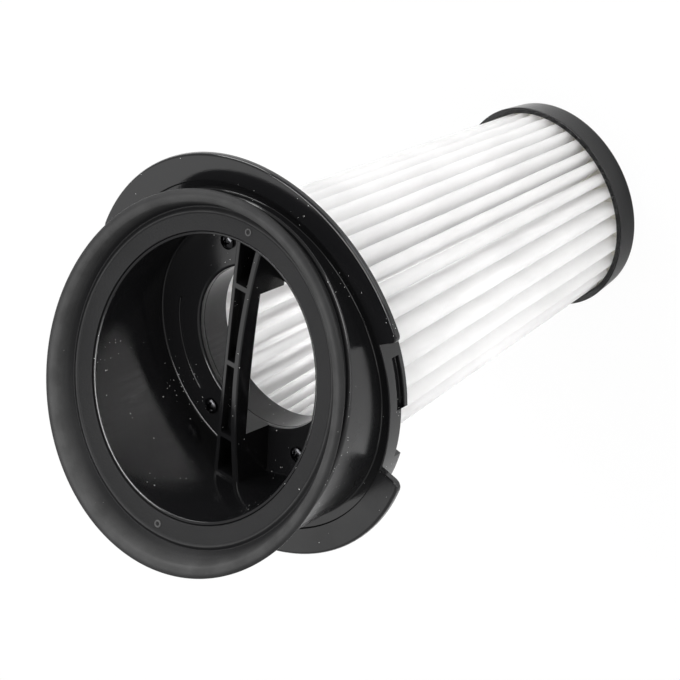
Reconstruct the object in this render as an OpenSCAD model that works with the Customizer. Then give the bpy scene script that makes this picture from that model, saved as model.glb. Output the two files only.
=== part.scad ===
// Conical cartridge filter of a vacuum cleaner, standing on its end cap with the mouth up.
// The Z axis is the axis of the pack. The mouth leans towards -Y, and the handle lies along Y.

/* [Overall] */
// Height of the flange's front face above the end cap
face_height = 124; // [110:1:140]
// Angle between the mouth and the flange, in degrees
mouth_tilt = 17.4; // [10:0.2:20]
// Height of the mouth above the flange, on the axis
mouth_height = 17.4; // [15:0.2:24]

/* [Head] */
// Radius of the flange
flange_r = 55; // [53:0.5:60]
// Thickness of the flange
flange_t = 1.7; // [1.4:0.1:2.4]
// Rounding of the flange's front edge
flange_round = 0.6; // [0.3:0.1:0.8]
// Radius of the neck where it leaves the flange
neck_r = 45.1; // [44:0.1:46]
// Draft of the neck, in degrees
neck_draft = 1.3; // [0.5:0.1:2]
// Wall of the neck and of the bowl
head_wall = 2; // [1.6:0.1:2.4]
// Width of the groove in the flange round the neck
groove_w = 2.6; // [2:0.1:3]
// Depth of that groove
groove_depth = 0.6; // [0.4:0.1:0.8]
// Inner radius of the bowl
bowl_r = 35.5; // [34:0.1:36]
// Depth of the bowl's floor below the flange's front face
bowl_depth = 5.7; // [5:0.1:7]
// Width of the thin lip of the bowl inside the seal
bowl_lip_w = 0.8; // [0.6:0.1:1.2]
// Inner radius of the throat
throat_r = 22.4; // [21:0.1:24]
// Bevel of the throat's edge
throat_bevel = 0.6; // [0.3:0.1:0.9]
// Radius of the curved ridges on the floor, beside the throat
ridge_r = 29.3; // [28.8:0.1:29.8]
// Width of those ridges
ridge_w = 0.7; // [0.5:0.1:1]
// Height of those ridges
ridge_h = 0.35; // [0.2:0.05:0.5]
// Angle from the front to the start of those ridges
ridge_from = 87; // [80:1:95]
// Angle from the front to the end of those ridges
ridge_to = 138; // [130:1:145]

/* [Bayonet collar] */
// Outer radius of the collar under the flange
collar_r = 48.4; // [48:0.1:49.5]
// Wall of the collar
collar_wall = 2.2; // [1.8:0.1:2.6]
// Length of the collar, from the flange's front face
collar_depth = 6.9; // [6.5:0.1:7.5]
// Depth of the collar's edge in the entry of each bayonet slot
entry_depth = 4.3; // [3.9:0.1:4.6]
// Depth of the upper side of each bayonet slot
slot_top = 2.9; // [2.6:0.1:3.2]
// Height of each bayonet slot
slot_h = 2.6; // [2.3:0.1:2.9]
// Depth of each bayonet slot into the wall of the collar
slot_depth = 1.4; // [1.2:0.1:1.5]
// Angle from the front to the start of each cut in the flange
cut_start = 60.5; // [58:0.5:63]
// Angle from the front to the end of each cut in the flange
cut_end = 104; // [102:0.5:108]
// Rounding of the corners of that cut
cut_round = 2; // [1.5:0.1:2.5]
// Angle from the front to the closed end of each slot
slot_start = 66; // [64:0.5:68]
// Angle from the front to the end of the rail below each slot
rail_end = 83; // [80:0.5:86]
// Angle from the front to the stop face at the end of each entry
entry_end = 100.6; // [98:0.2:103]

/* [Handle] */
// Width of the handle at the middle
handle_w = 5.4; // [4.8:0.1:6]
// Width of the handle at the bowl's wall
handle_end_w = 8; // [7.4:0.1:9]
// Height of the handle's crown above the flange's front face
handle_crown = 6.5; // [6:0.1:7]
// Height of the handle's ends above the flange's front face
handle_end_h = 4.2; // [3.8:0.1:4.8]
// Height of the handle's underside above the flange's front face
handle_under = 2; // [1.6:0.1:2.2]
// Distance of the handle's legs from the axis
leg_reach = 21.3; // [20:0.1:22]
// Draft of the handle's sides, in degrees
handle_draft = 6.5; // [5:0.5:8]
// Wall of the rails along the handle
rail_w = 1.3; // [1.1:0.1:1.5]
// Floor left under the pockets of the handle
pocket_floor = 0.9; // [0.7:0.1:1.1]
// Distance between the cross ribs of the handle
rib_pitch = 22.6; // [22:0.1:23.5]
// Thickness of the cross ribs
rib_w = 1.4; // [1:0.1:1.8]

/* [Mouth seal] */
// Thickness of the seal's flat band
seal_t = 1.8; // [1.4:0.1:2.4]
// Outer radius of the flat band
band_r = 41.4; // [41:0.1:41.8]
// Radius of the groove between the band and the lip
seal_groove_r = 42.6; // [42.4:0.1:42.8]
// Radius of the seal's foot on the neck
foot_r = 44.2; // [43.8:0.1:44.3]
// Rounding of the lip's edge
lip_round = 1.5; // [1.2:0.1:1.8]
// Outer radius of the lip
lip_r = 48.5; // [48:0.1:49]
// Height of the lip above the flat band
lip_h = 5; // [4.6:0.1:6]
// Height of the fine rib at the edge of the flat band
seal_rib_h = 0.35; // [0.2:0.05:0.5]
// Width of that rib
seal_rib_w = 1.1; // [0.8:0.1:1.3]
// Depth of the groove between the band and the lip
seal_groove_depth = 0.45; // [0.3:0.05:0.6]
// Overhang of the lip's underside outside the seal's foot
seal_undercut = 1.6; // [1.2:0.1:2]

/* [Pack ring] */
// Outer radius of the ring that holds the pack
ring_r = 38.4; // [38:0.1:39.4]
// Height of the ring's skirt
ring_h = 6.5; // [6:0.1:8]
// Wall of the ring
ring_wall = 1.5; // [1.2:0.1:1.8]
// Plate thickness of the ring
ring_plate_t = 2; // [1.6:0.1:2.4]
// Length of the throat tube below the plate
tube_len = 6.5; // [6:0.1:8]
// Depth of the potting under the plate
top_potting_t = 2.8; // [2.4:0.1:3.2]

/* [Screws] */
// Distance of the screws from the axis, across the handle
screw_x = 15.2; // [14.9:0.1:15.4]
// Distance of the screws from the axis, along the handle
screw_y = 25.1; // [24.8:0.1:25.4]
// Radius of the screw heads
head_r = 2.1; // [1.8:0.1:2.3]
// Height of the screw heads
head_h = 1.3; // [1.1:0.1:1.6]
// Radius of the screw shanks
shank_r = 1.1; // [0.9:0.05:1.2]
// Length of the screw shanks
shank_len = 6; // [5.4:0.1:6.2]
// Radius of the bosses that take the screws
boss_r = 2.4; // [2.2:0.1:2.7]
// Span of the cross recess in the screw heads
recess_span = 2.3; // [2:0.1:2.6]
// Width of that recess
recess_w = 0.5; // [0.4:0.05:0.7]
// Depth of that recess
recess_depth = 0.65; // [0.4:0.05:0.8]

/* [Pleats] */
// Number of pleats
pleat_count = 36; // [32:1:40]
// Radius over the pleats at the ring
pleat_top_r = 36; // [35.5:0.1:36.4]
// Radius over the pleats at the potting in the end cap
pleat_base_r = 25.9; // [25.4:0.1:26]
// Depth of the pleats
pleat_depth = 11.2; // [10.6:0.1:11.4]
// Thickness of the paper
paper_t = 0.6; // [0.5:0.05:0.65]

/* [End cap] */
// Outer radius of the end cap at its open rim
cap_r = 28; // [27.6:0.1:30]
// Radius of the end cap at its end face
cap_end_r = 26.9; // [26.4:0.1:27.6]
// Height of the end cap
cap_h = 7.4; // [6.8:0.1:9]
// Thickness of the end cap's floor
cap_floor = 1.8; // [1.4:0.1:2.2]
// Inner radius of the end cap at its rim
cap_bore_r = 26.4; // [26.3:0.1:26.6]
// Inner radius of the end cap at its floor
cap_bore_floor_r = 25.6; // [25.2:0.1:25.8]
// Bevel of the end cap's lower edge
cap_bevel = 0.8; // [0.4:0.1:1]
// Thickness of the potting in the end cap
base_potting_t = 3; // [2.6:0.1:3.6]

/* [Hidden] */
$fn = 96;
eps = 0.01;
// Gap between pieces that fit into each other
fit = 0.15;
// Gap between the screws and the plastic that they cut into
thread_gap = 0.05;
// How far a cutting shape reaches past the faces that it cuts
over = 1;
// Facets of small round features
small_fn = 48;
// Facets of the wide shallow arcs of the handle
arc_fn = 720;
// Larger than the whole part
far = 3 * flange_r;
// Colours
plastic = [0.06, 0.06, 0.065];
satin_plastic = [0.08, 0.08, 0.085];
rubber = [0.16, 0.16, 0.165];
steel = [0.5, 0.5, 0.52];
resin = [0.85, 0.84, 0.8];
paper = [0.93, 0.93, 0.92];
floor_z = face_height - bowl_depth;
plate_z = floor_z - head_wall;
under_z = plate_z - ring_plate_t;
media_top_z = under_z - top_potting_t;
media_base_z = cap_floor + base_potting_t;
flange_z = face_height - flange_t;
bowl_lip_r = bowl_r + bowl_lip_w;
land_r = neck_r + groove_w;
collar_bore_r = collar_r - collar_wall;
tube_r = throat_r + ring_wall;
crown_r = arc_radius(handle_crown - handle_end_h, bowl_r);
waist_r = arc_radius((handle_end_w - handle_w) / 2, bowl_r);
// How far the bowl's lip stays below the face of the seal
lip_drop = 0.3;
// Steps round the seal, up its lip and round the lip's edge
seal_steps = 72;
rise_steps = 5;
edge_steps = 6;
// Angles of the section where the lip's rounded edge begins and ends
edge_from = 110;
edge_to = -60;
// Steps round each outer fold and each inner fold of the pleats
fold_steps = 4;
root_steps = 2;
// Radius of the folds as a share of the pitch, and half of the angle that each fold spans
fold_share = 0.3;
fold_turn = 78;

// Radius of an arc from its height and half of its chord
function arc_radius(rise, half) = (half * half + rise * rise) / (2 * rise);

// Unit vector at an angle that is measured from the front towards -X
function from_front(a) = [-sin(a), -cos(a)];

// Height of the mouth's flat band at the distance y from the axis
function mouth_z(y) = face_height + mouth_height + y * tan(mouth_tilt);

// Everything above the oblique plane that lies at the height off over the flat band
module above_mouth(off) {
    translate([0, 0, face_height + mouth_height + off])
        rotate([mouth_tilt, 0, 0])
            translate([-far, -far, 0])
                cube([2 * far, 2 * far, far]);
}

// Ring between two radii, standing on z
module tube(outer, inner, z, h) {
    translate([0, 0, z])
        difference() {
            cylinder(r = outer, h = h);
            translate([0, 0, -eps])
                cylinder(r = inner, h = h + 2 * eps);
        }
}

// Wedge about the axis between two angles from the front
module wedge(from, to, reach, z, h) {
    corners = [for (a = [from, (from + to) / 2, to]) from_front(a) * reach / cos((to - from) / 2)];
    translate([0, 0, z])
        linear_extrude(h)
            polygon(concat([[0, 0]], corners));
}

// Places its children at an angle from the front, with +X outwards
module at_angle(a) {
    rotate([0, 0, 270 - a]) children();
}

// Repeats the bayonet features on both sides of the axis
module both_sides() {
    for (turn = [0, 180])
        rotate([0, 0, turn]) children();
}

// Disc of the flange with its rounded front edge and the groove round the neck
module flange_disc() {
    inner = neck_r - head_wall;
    translate([0, 0, face_height])
        rotate_extrude()
            difference() {
                union() {
                    translate([inner, -flange_t])
                        square([flange_r - inner, flange_t - flange_round]);
                    translate([inner, -flange_t])
                        square([flange_r - inner - flange_round, flange_t]);
                    translate([flange_r - flange_round, -flange_round])
                        circle(r = flange_round, $fn = small_fn);
                }
                translate([inner - eps, -groove_depth])
                    square([land_r - inner + eps, 2 * groove_depth]);
            }
}

// Rounds a corner of the flange where the cut begins or ends
module corner_cut(a, side) {
    at_angle(a)
        mirror([0, side, 0])
            translate([flange_r, 0, flange_z - over])
                difference() {
                    translate([-cut_round, -eps, 0])
                        cube([2 * cut_round, cut_round + eps, flange_t + 2 * over]);
                    translate([-cut_round, cut_round, -eps])
                        cylinder(r = cut_round, h = flange_t + 3 * over, $fn = small_fn);
                }
}

// Cut that takes the flange away over a bayonet slot
module flange_cut() {
    difference() {
        wedge(cut_start, cut_end, flange_r + over, flange_z - over, flange_t + 2 * over);
        translate([0, 0, flange_z - 2 * over])
            cylinder(r = collar_r, h = flange_t + 4 * over);
    }
    corner_cut(cut_start, 0);
    corner_cut(cut_end, 1);
}

// Bayonet slot with its rail below it, and the open entry beside it
module bayonet_slot() {
    difference() {
        wedge(slot_start, rail_end + eps, collar_r + over, face_height - slot_top - slot_h, slot_h);
        translate([0, 0, face_height - collar_depth])
            cylinder(r = collar_r - slot_depth, h = collar_depth);
    }
    wedge(rail_end, entry_end, collar_r + over, face_height - collar_depth - over,
          collar_depth - entry_depth + over);
}

// Collar under the flange that turns into the housing
module collar() {
    difference() {
        tube(collar_r, collar_bore_r, face_height - collar_depth, collar_depth - flange_t + eps);
        both_sides() bayonet_slot();
    }
}

// Drafted wall of the neck as a solid, cut off along the oblique rim
module neck_cone(inset, off) {
    top = mouth_height + 2 * neck_r * tan(mouth_tilt);
    difference() {
        translate([0, 0, flange_z])
            cylinder(r1 = neck_r - inset, r2 = neck_r - inset + (top + flange_t) * tan(neck_draft),
                     h = top + flange_t);
        above_mouth(off);
    }
}

// Hollow between the neck and the bowl, open at the underside
module neck_hollow() {
    difference() {
        union() {
            neck_cone(head_wall, -seal_t - head_wall);
            translate([0, 0, plate_z - over])
                cylinder(r = collar_bore_r, h = flange_z - plate_z + over);
        }
        translate([0, 0, plate_z - 2 * over])
            cylinder(r = bowl_r + head_wall, h = far);
    }
}

// Positions of the four screws
module at_screws() {
    for (x = [-screw_x, screw_x], y = [-screw_y, screw_y])
        translate([x, y, 0]) children();
}

// Everything above the handle's arched crown
module above_crown() {
    difference() {
        translate([-far / 2, -far / 2, face_height])
            cube([far, far, far]);
        translate([-far, 0, face_height + handle_crown - crown_r])
            rotate([0, 90, 0])
                cylinder(r = crown_r, h = 2 * far, $fn = arc_fn);
    }
}

// The two wide drafted arcs that give the handle its waist, set in by the given wall
module waist_arcs(wall) {
    height = bowl_depth + handle_crown;
    for (side = [-1, 1])
        translate([side * (handle_w / 2 + waist_r), 0, floor_z - over])
            cylinder(r1 = waist_r + wall - (height + over) * tan(handle_draft),
                     r2 = waist_r + wall + over * tan(handle_draft),
                     h = height + 2 * over, $fn = arc_fn);
}

// Pocket of the handle between two distances along it, down to the height z
module handle_pocket(from, to, z) {
    difference() {
        translate([-handle_end_w, from, z])
            cube([2 * handle_end_w, to - from, far / 4]);
        waist_arcs(rail_w);
    }
}

// Ladder-shaped handle across the throat, on two legs that stand on the bowl's floor
module handle() {
    span_z = face_height + handle_under;
    reach = bowl_r - head_wall / 2;
    difference() {
        intersection() {
            union() {
                translate([-handle_end_w, -far / 2, span_z])
                    cube([2 * handle_end_w, far, 2 * handle_crown]);
                for (side = [0, 1])
                    mirror([0, side, 0])
                        translate([-handle_end_w, leg_reach, floor_z - eps])
                            cube([2 * handle_end_w, far / 4, span_z - floor_z + over]);
            }
            translate([0, 0, floor_z - over])
                cylinder(r = bowl_r + eps, h = far / 4);
        }
        waist_arcs(0);
        above_crown();
        for (side = [0, 1])
            mirror([0, side, 0]) {
                handle_pocket(rib_w / 2, rib_pitch - rib_w / 2, span_z + pocket_floor);
                handle_pocket(rib_pitch + rib_w / 2, reach, floor_z + pocket_floor);
            }
    }
}

// Curved ridges on the floor of the bowl
module floor_ridges() {
    for (side = [0, 1])
        mirror([side, 0, 0])
            intersection() {
                tube(ridge_r + ridge_w / 2, ridge_r - ridge_w / 2, floor_z - eps, ridge_h + eps);
                wedge(ridge_from, ridge_to, ridge_r + over, floor_z - over, ridge_h + 2 * over);
            }
}

// One moulding: flange, bayonet collar, oblique neck, bowl, throat and handle
module head() {
    color(plastic) {
        difference() {
            union() {
                difference() {
                    flange_disc();
                    both_sides() flange_cut();
                }
                collar();
                neck_cone(0, -seal_t);
                difference() {
                    translate([0, 0, plate_z])
                        cylinder(r = bowl_lip_r, h = far);
                    above_mouth(-lip_drop);
                }
                translate([0, 0, plate_z])
                    cylinder(r = bowl_r + head_wall, h = bowl_depth + head_wall);
            }
            neck_hollow();
            translate([0, 0, floor_z])
                cylinder(r = bowl_r, h = far);
            translate([0, 0, plate_z - over])
                cylinder(r = throat_r, h = far);
            translate([0, 0, floor_z - throat_bevel])
                cylinder(r1 = throat_r, r2 = throat_r + throat_bevel + eps, h = throat_bevel + eps);
            at_screws()
                translate([0, 0, plate_z - over])
                    cylinder(r = shank_r + fit, h = head_wall + 2 * over, $fn = small_fn);
        }
        handle();
        floor_ridges();
    }
}

// Section of the seal as points of radius and height over the flat band
function seal_section() =
    let (inner = bowl_lip_r + fit,
         edge = [lip_r - lip_round, lip_h - lip_round],
         start = [seal_groove_r + seal_groove_depth, 0],
         crest = edge + lip_round * [cos(edge_from), sin(edge_from)])
    concat(
        [[inner, -seal_t], [inner, -lip_drop], [inner + lip_drop, 0]],
        [[band_r - seal_rib_w / 2, 0], [band_r, seal_rib_h], [band_r + seal_rib_w / 2, 0]],
        [[seal_groove_r, -seal_groove_depth]],
        [for (i = [0 : rise_steps - 1])
            let (k = i / rise_steps)
            [start[0] + (crest[0] - start[0]) * k, crest[1] * sin(90 * k)]],
        [for (i = [0 : edge_steps])
            let (a = edge_from + (edge_to - edge_from) * i / edge_steps)
            edge + lip_round * [cos(a), sin(a)]],
        [[foot_r + seal_undercut, seal_undercut / 2], [foot_r, -seal_t / 2], [foot_r, -seal_t]]);

// Soft ring on the oblique rim, with a raised lip that overhangs the neck
module mouth_seal() {
    section = seal_section();
    count = len(section);
    points = [for (s = [0 : seal_steps - 1], p = section)
        let (a = 360 * s / seal_steps, x = p[0] * cos(a), y = p[0] * sin(a))
        [x, y, mouth_z(y) + p[1]]];
    faces = [for (s = [0 : seal_steps - 1], i = [0 : count - 1])
        let (t = (s + 1) % seal_steps, j = (i + 1) % count)
        [s * count + i, s * count + j, t * count + j, t * count + i]];
    color(rubber)
        polyhedron(points = points, faces = faces, convexity = 6);
}

// Ring over the pack: plate, outer skirt, throat tube and screw bosses
module pack_ring() {
    color(plastic)
        difference() {
            union() {
                tube(ring_r, throat_r, under_z, ring_plate_t);
                tube(ring_r, ring_r - ring_wall, plate_z - ring_h, ring_h);
                tube(tube_r, throat_r, under_z - tube_len, tube_len + eps);
                at_screws()
                    translate([0, 0, media_top_z])
                        cylinder(r = boss_r, h = top_potting_t + eps, $fn = small_fn);
            }
            at_screws()
                translate([0, 0, floor_z - shank_len - fit])
                    cylinder(r = shank_r + thread_gap, h = shank_len, $fn = small_fn);
        }
}

// Screws that hold the ring under the floor of the bowl
module ring_screws() {
    rim_h = head_h / 2;
    dome_r = arc_radius(head_h - rim_h, head_r);
    color(steel)
        at_screws()
            translate([0, 0, floor_z]) {
                difference() {
                    intersection() {
                        cylinder(r = head_r, h = head_h, $fn = small_fn);
                        translate([0, 0, head_h - dome_r])
                            sphere(r = dome_r);
                    }
                    for (turn = [0, 90])
                        rotate([0, 0, turn])
                            translate([-recess_span / 2, -recess_w / 2, head_h - recess_depth])
                                cube([recess_span, recess_w, head_h]);
                }
                translate([0, 0, -shank_len])
                    cylinder(r = shank_r, h = shank_len + eps, $fn = small_fn);
            }
}

// Potting that seals the pleats into the ring
module top_potting() {
    color(resin)
        difference() {
            tube(ring_r - ring_wall - fit, tube_r + fit, media_top_z, top_potting_t);
            at_screws()
                translate([0, 0, media_top_z - over])
                    cylinder(r = boss_r + fit, h = top_potting_t + 2 * over, $fn = small_fn);
        }
}

// Points of one surface of the pleats at one end.
// tip is the radius over the pleats, inset is 0 on the outer surface and 1 on the inner one.
function pleat_ring(tip, inset, z) =
    let (step = 360 / pleat_count, root = tip - pleat_depth,
         fold_r = fold_share * 2 * PI * tip / pleat_count,
         root_r = fold_share * 2 * PI * root / pleat_count + paper_t / 2,
         outer_arc = fold_r - inset * paper_t,
         inner_arc = root_r - (1 - inset) * paper_t)
    [for (k = [0 : pleat_count - 1], i = [0 : fold_steps + root_steps + 1])
        let (fold = i <= fold_steps,
             a = fold ? fold_turn * (2 * i / fold_steps - 1)
                      : fold_turn * (1 - 2 * (i - fold_steps - 1) / root_steps),
             centre = fold ? tip - fold_r : root + root_r,
             arc = fold ? outer_arc : -inner_arc,
             turn = step * (k + (fold ? 0 : 0.5)),
             u = centre + arc * cos(a), v = (fold ? arc : inner_arc) * sin(a) * (fold ? 1 : -1))
        [u * cos(turn) - v * sin(turn), u * sin(turn) + v * cos(turn), z]];

// Paper folded into pleats, wide at the ring and narrow at the end cap
module pleated_media() {
    n = pleat_count * (fold_steps + root_steps + 2);
    points = concat(pleat_ring(pleat_base_r, 0, media_base_z), pleat_ring(pleat_top_r, 0, media_top_z),
                    pleat_ring(pleat_base_r, 1, media_base_z), pleat_ring(pleat_top_r, 1, media_top_z));
    faces = [for (i = [0 : n - 1])
        let (j = (i + 1) % n)
        each [[i, i + n, j], [j, i + n, j + n],
              [2 * n + i, 2 * n + j, 3 * n + i], [2 * n + j, 3 * n + j, 3 * n + i],
              [i, j, 2 * n + i], [j, 2 * n + j, 2 * n + i],
              [n + i, 3 * n + i, n + j], [n + j, 3 * n + i, 3 * n + j]]];
    color(paper)
        polyhedron(points = points, faces = faces, convexity = 10);
}

// Radius of the end cap's bore at the height z
function cap_bore_at(z) =
    cap_bore_floor_r + (cap_bore_r - cap_bore_floor_r) * (z - cap_floor) / (cap_h - cap_floor);

// Potting that seals the pleats into the end cap
module base_potting() {
    color(resin)
        translate([0, 0, cap_floor])
            cylinder(r1 = cap_bore_floor_r - fit, r2 = cap_bore_at(media_base_z) - fit,
                     h = base_potting_t);
}

// Closed cup at the narrow end, on which the filter stands
module end_cap() {
    color(satin_plastic)
        difference() {
            rotate_extrude()
                polygon([[0, 0], [cap_end_r - cap_bevel, 0], [cap_end_r, cap_bevel],
                         [cap_r, cap_h], [0, cap_h]]);
            translate([0, 0, cap_floor])
                cylinder(r1 = cap_bore_floor_r, r2 = cap_bore_r, h = cap_h - cap_floor + eps);
        }
}

head();
mouth_seal();
pack_ring();
ring_screws();
top_potting();
pleated_media();
base_potting();
end_cap();
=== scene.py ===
"""Looks of a conical cartridge filter of a vacuum cleaner.

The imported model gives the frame. Z is the axis of the pleated pack, and the origin is the middle of the
end cap's face, on which the filter stands. The mouth leans towards -Y, and the handle lies along Y.
Sizes are in millimetres, as a moulder would write them, and every mesh is made in metres. Angles round
the axis are in degrees from the front, which is -Y, towards -X.
"""

import logging
import math
from collections.abc import Callable, Sequence
from dataclasses import dataclass, field
from enum import Enum

import bmesh
import bpy
from mathutils import Matrix, Quaternion, Vector

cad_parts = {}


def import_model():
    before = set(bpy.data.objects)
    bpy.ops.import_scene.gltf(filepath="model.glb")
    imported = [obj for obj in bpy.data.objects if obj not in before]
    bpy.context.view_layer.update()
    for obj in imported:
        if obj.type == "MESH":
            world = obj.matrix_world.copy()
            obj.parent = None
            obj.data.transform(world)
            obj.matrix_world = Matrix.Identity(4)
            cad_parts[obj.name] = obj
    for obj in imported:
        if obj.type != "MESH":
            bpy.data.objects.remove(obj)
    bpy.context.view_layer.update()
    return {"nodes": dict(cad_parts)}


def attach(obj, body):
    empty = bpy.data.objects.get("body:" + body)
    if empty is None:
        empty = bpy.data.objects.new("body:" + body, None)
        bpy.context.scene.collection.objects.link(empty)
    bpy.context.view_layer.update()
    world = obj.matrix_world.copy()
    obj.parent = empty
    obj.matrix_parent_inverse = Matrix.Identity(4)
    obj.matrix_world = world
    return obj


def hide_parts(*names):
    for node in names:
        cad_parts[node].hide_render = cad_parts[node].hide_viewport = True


LOG = logging.getLogger("filter")
MM = 0.001
BODY = "root"

Point = tuple[float, float]
Colour = tuple[float, float, float]


class Slot(Enum):
    """Material slots of the record."""

    HEAD = "head_plastic"
    SEAL = "seal_rubber"
    RING = "ring_plastic"
    SCREW = "screw_steel"
    POTTING = "potting_resin"
    MEDIA = "filter_paper"
    CAP = "cap_plastic"


class Side(Enum):
    """The two sides of the axis on which the bayonet repeats, as turns in degrees."""

    NEAR = 0
    FAR = 180


# Sections and meshes


@dataclass(frozen=True)
class Corner:
    """Corner of a section.

    Attributes:
        r: Distance from the axis.
        z: Height.
        rounding: Radius of the rounding at the corner.
    """

    r: float
    z: float
    rounding: float = 0.0


def rounded(corners: Sequence[Corner], steps: int = 4) -> list[Point]:
    """Rounds the corners of a closed section.

    Args:
        corners: The corners in order.
        steps: Faces along each rounding.

    Returns:
        The points, always the same number for the same roundings.
    """
    points: list[Point] = []
    for index, corner in enumerate(corners):
        here = Vector((corner.r, corner.z))
        before = corners[index - 1]
        after = corners[(index + 1) % len(corners)]
        back = Vector((before.r, before.z)) - here
        ahead = Vector((after.r, after.z)) - here
        if corner.rounding == 0.0:
            points.append((here.x, here.y))
            continue
        points.extend(_arc(here, back, ahead, corner.rounding, steps))
    return points


def _arc(here: Vector, back: Vector, ahead: Vector, rounding: float, steps: int) -> list[Point]:
    """Gives the arc that rounds one corner.

    Args:
        here: The corner.
        back: Way to the corner before it.
        ahead: Way to the corner after it.
        rounding: Radius of the arc, made smaller where the sides are short.
        steps: Faces along the arc.

    Returns:
        One point more than steps.
    """
    tiny = 1e-5
    share = 0.45
    if back.length < tiny or ahead.length < tiny:
        return [(here.x, here.y)] * (steps + 1)
    half = back.angle(ahead) / 2
    turn = math.pi - 2 * half
    if half < tiny or turn < 0.01:
        return [(here.x, here.y)] * (steps + 1)
    reach = min(rounding / math.tan(half), share * back.length, share * ahead.length)
    middle = here + (back.normalized() + ahead.normalized()).normalized() * reach / math.cos(half)
    first = here + back.normalized() * reach - middle
    last = here + ahead.normalized() * reach - middle
    arc = []
    for step in range(steps + 1):
        angle = turn * step / steps
        spoke = (first * math.sin(turn - angle) + last * math.sin(angle)) / math.sin(turn)
        arc.append((middle.x + spoke.x, middle.y + spoke.y))
    return arc


def from_front(r: float, angle: float, z: float) -> Vector:
    """Gives the point in metres at a radius, an angle from the front and a height."""
    turn = math.radians(angle)
    return Vector((-r * math.sin(turn), -r * math.cos(turn), z)) * MM


def frange(start: float, end: float, step: float) -> list[float]:
    """Divides a stretch evenly.

    Args:
        start: First value.
        end: Last value.
        step: Largest step.

    Returns:
        The values, both ends among them.
    """
    count = max(1, math.ceil((end - start) / step - 1e-6))
    return [start + (end - start) * i / count for i in range(count + 1)]


def swept(name: str, columns: Sequence[tuple[float, Sequence[Point]]], closed: bool) -> bpy.types.Mesh:
    """Sweeps a closed section round the axis, with a section of its own at each angle.

    Args:
        name: Name of the mesh.
        columns: Angles from the front, each with the section's points.
        closed: True if the last column joins the first. Otherwise both ends get a face.

    Returns:
        The closed mesh with its faces outwards.
    """
    rows = [[from_front(r, angle, z) for r, z in section] for angle, section in columns]
    return _skin(name, rows, closed)


def _skin(name: str, rows: Sequence[Sequence[Vector]], closed: bool) -> bpy.types.Mesh:
    """Joins closed loops of points with faces.

    Args:
        name: Name of the mesh.
        rows: Loops of points, each of the same number.
        closed: True if the last loop joins the first.

    Returns:
        The mesh, merged, with its faces outwards.
    """
    shape = bmesh.new()
    loops = [[shape.verts.new(point) for point in row] for row in rows]
    size = len(rows[0])
    pairs = list(zip(loops, loops[1:]))
    if closed:
        pairs.append((loops[-1], loops[0]))
    for one, two in pairs:
        for j in range(size):
            k = (j + 1) % size
            shape.faces.new((one[j], one[k], two[k], two[j]))
    if not closed:
        shape.faces.new(loops[0])
        shape.faces.new(loops[-1])
    bmesh.ops.remove_doubles(shape, verts=shape.verts, dist=1e-6)
    bmesh.ops.dissolve_degenerate(shape, edges=shape.edges, dist=1e-7)
    bmesh.ops.recalc_face_normals(shape, faces=shape.faces)
    mesh = bpy.data.meshes.new(name)
    shape.to_mesh(mesh)
    shape.free()
    return mesh


def add_object(name: str, mesh: bpy.types.Mesh) -> bpy.types.Object:
    """Puts a mesh into the scene at the origin."""
    thing = bpy.data.objects.new(name, mesh)
    bpy.context.scene.collection.objects.link(thing)
    return thing


def settle(thing: bpy.types.Object) -> bpy.types.Object:
    """Turns an object with its modifiers into a plain mesh.

    Args:
        thing: The object.

    Returns:
        The same object.
    """
    bpy.context.view_layer.update()
    graph = bpy.context.evaluated_depsgraph_get()
    mesh = bpy.data.meshes.new_from_object(
        thing.evaluated_get(graph), preserve_all_data_layers=True, depsgraph=graph
    )
    thing.modifiers.clear()
    thing.data = mesh
    return thing


def smoothed(thing: bpy.types.Object, angle: float = 32.0, weighted: bool = True) -> bpy.types.Object:
    """Shades an object smooth apart from its sharp edges.

    Args:
        thing: The object.
        angle: Edges that turn by more than this, in degrees, stay sharp.
        weighted: True if flat faces keep flat shading beside their rounded edges.

    Returns:
        The same object as a plain mesh.
    """
    thing.data.polygons.foreach_set("use_smooth", [True] * len(thing.data.polygons))
    thing.data.set_sharp_from_angle(angle=math.radians(angle))
    if weighted:
        modifier = thing.modifiers.new("Even shading", "WEIGHTED_NORMAL")
        modifier.keep_sharp = True
        modifier.weight = 80
        settle(thing)
    return thing


def bevelled(thing: bpy.types.Object, width: float, angle: float, segments: int = 2) -> bpy.types.Object:
    """Rounds the sharp edges of an object.

    Args:
        thing: The object.
        width: Width of the rounding in millimetres.
        angle: Edges that turn by more than this, in degrees, are rounded.
        segments: Faces across each rounding.

    Returns:
        The same object as a plain mesh.
    """
    modifier = thing.modifiers.new("Moulded edge", "BEVEL")
    modifier.width = width * MM
    modifier.segments = segments
    modifier.limit_method = "ANGLE"
    modifier.angle_limit = math.radians(angle)
    modifier.use_clamp_overlap = True
    return settle(thing)


def deliver(
    thing: bpy.types.Object,
    slot: Slot,
    material: bpy.types.Material,
    *nodes: str,
) -> bpy.types.Object:
    """Hands a finished piece over to the frame.

    Args:
        thing: The piece.
        slot: Slot of the record. Not used.
        material: Its material.
        nodes: Model nodes that it stands for.

    Returns:
        The same piece.
    """
    thing.data.materials.clear()
    thing.data.materials.append(material)
    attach(thing, BODY)
    if nodes:
        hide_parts(*nodes)
    LOG.info("%s: %d faces", thing.name, len(thing.data.polygons))
    return thing


# Node trees


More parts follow.
